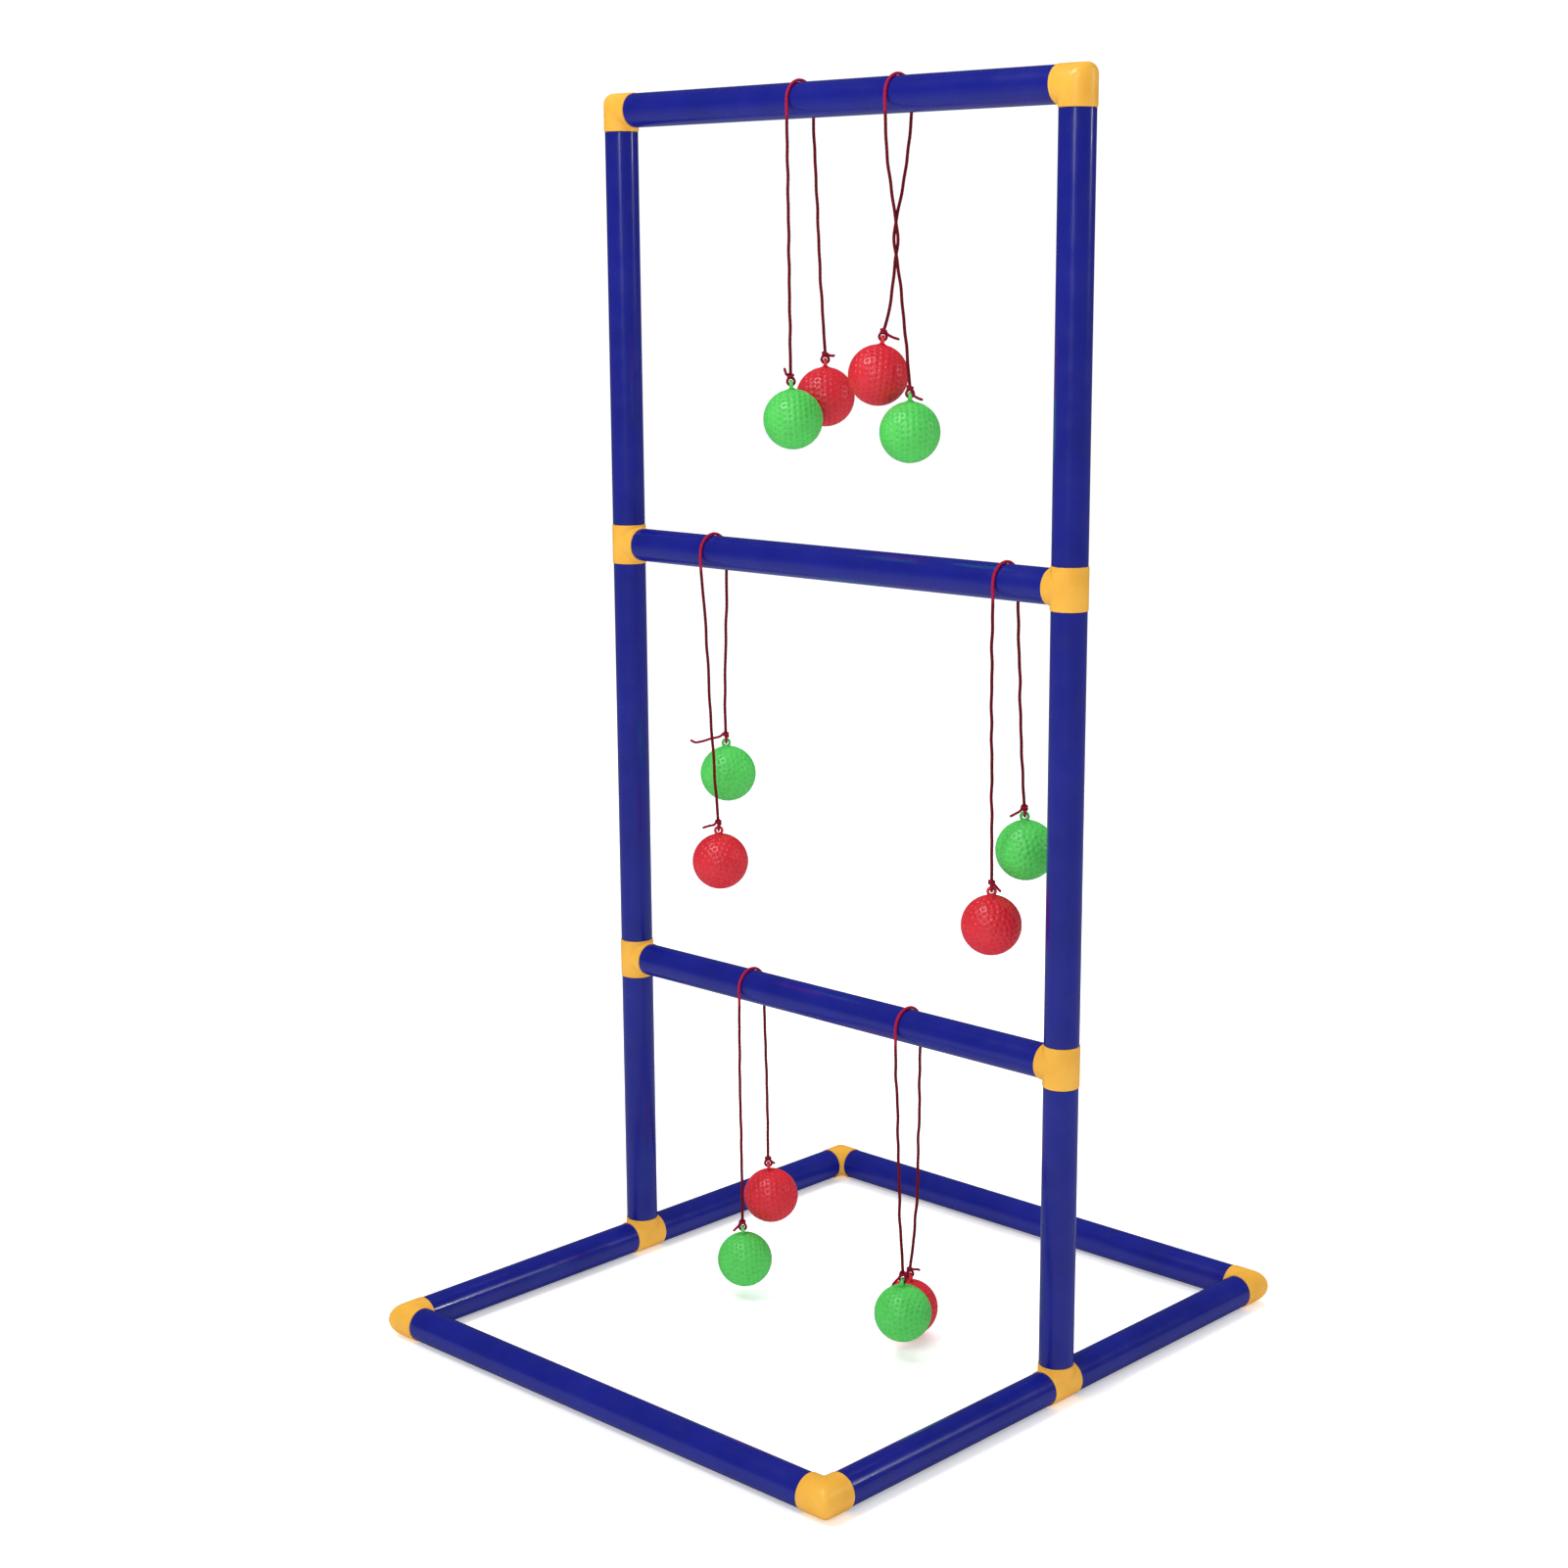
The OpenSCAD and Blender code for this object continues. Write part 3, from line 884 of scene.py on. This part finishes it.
def add_floor():
    """A pale studio floor, large enough to fill every view, which glossy surfaces see darker."""
    bpy.ops.mesh.primitive_circle_add(vertices=96, radius=FLOOR_R, fill_type="NGON")
    floor = bpy.context.object
    floor.name = "floor"
    n = Nodes("pale_floor")
    reach = n.add("VectorMath", {0: n.here()}, operation="LENGTH").outputs["Value"]
    n.set(
        Base_Color=n.mix(n.ramp(n.noise(3), 0, 1), rgb(0.90, 0.90, 0.905), rgb(0.92, 0.92, 0.925)),
        Roughness=0.65,
        Specular_IOR_Level=0.2,
        Emission_Color=WHITE,
        Emission_Strength=n.ramp(reach, *FLOOR_GLOW, *FLOOR_REACH),
    )
    dim = n.add("BsdfDiffuse", {"Color": rgb(0.2, 0.21, 0.23)})
    mirrored = n.add("LightPath").outputs["Is Glossy Ray"]
    mix = n.add("MixShader", {0: mirrored, 1: n.shader.outputs["BSDF"], 2: dim.outputs["BSDF"]})
    n.put(n.tree.nodes["Material Output"].inputs["Surface"], mix.outputs["Shader"])
    floor.data.materials.append(n.material)


def add_light(name, place, aim, width, height, watts, mirrored=True):
    """A rectangular lamp that the camera doesn't see, and that gloss may or may not reflect."""
    data = bpy.data.lights.new(name, "AREA")
    data.shape = "RECTANGLE"
    data.size, data.size_y = width, height
    data.energy = watts
    light = bpy.data.objects.new(name, data)
    light.location = place
    light.rotation_euler = (Vector(aim) - Vector(place)).to_track_quat("-Z", "Y").to_euler()
    light.visible_camera = False
    light.visible_glossy = mirrored
    scene.collection.objects.link(light)


def add_world():
    """An even white studio that glossy surfaces reflect as a dimmer room."""
    world = bpy.data.worlds.new("studio")
    scene.world = world
    world.use_nodes = True
    tree = world.node_tree
    tree.nodes.clear()

    def background(colour, strength):
        node = tree.nodes.new("ShaderNodeBackground")
        node.inputs["Color"].default_value = colour
        node.inputs["Strength"].default_value = strength
        return node.outputs["Background"]

    def mix(share, first, second):
        node = tree.nodes.new("ShaderNodeMixShader")
        for socket, source in zip(node.inputs, (share, first, second)):
            tree.links.new(source, socket)
        return node.outputs["Shader"]

    path = tree.nodes.new("ShaderNodeLightPath")
    white, room = background(rgb(0.99, 0.995, 1), 0.6), background(rgb(0.8, 0.9, 1), 0.07)
    light = mix(path.outputs["Is Glossy Ray"], white, room)
    seen = mix(path.outputs["Is Camera Ray"], light, background(WHITE, 1.05))
    output = tree.nodes.new("ShaderNodeOutputWorld")
    tree.links.new(seen, output.inputs["Surface"])


add_floor()
add_world()
add_light("top_softbox", (-0.7, 1.0, 2.4), (0, 0, 0.5), 2.4, 1.8, 36, mirrored=False)
add_light("key_softbox", (-0.35, -1.25, 2.45), MIDDLE, 0.7, 0.7, 27)
add_light("front_strip", (0.99, -2.05, 1.40), (0.2, 0, 1.4), 0.1, 0.7, 12)
add_light("side_strip", (1.70, 1.30, 1.30), (0.2, 0, 1.3), 0.06, 0.7, 5.5)
scene.view_settings.view_transform = "Standard"
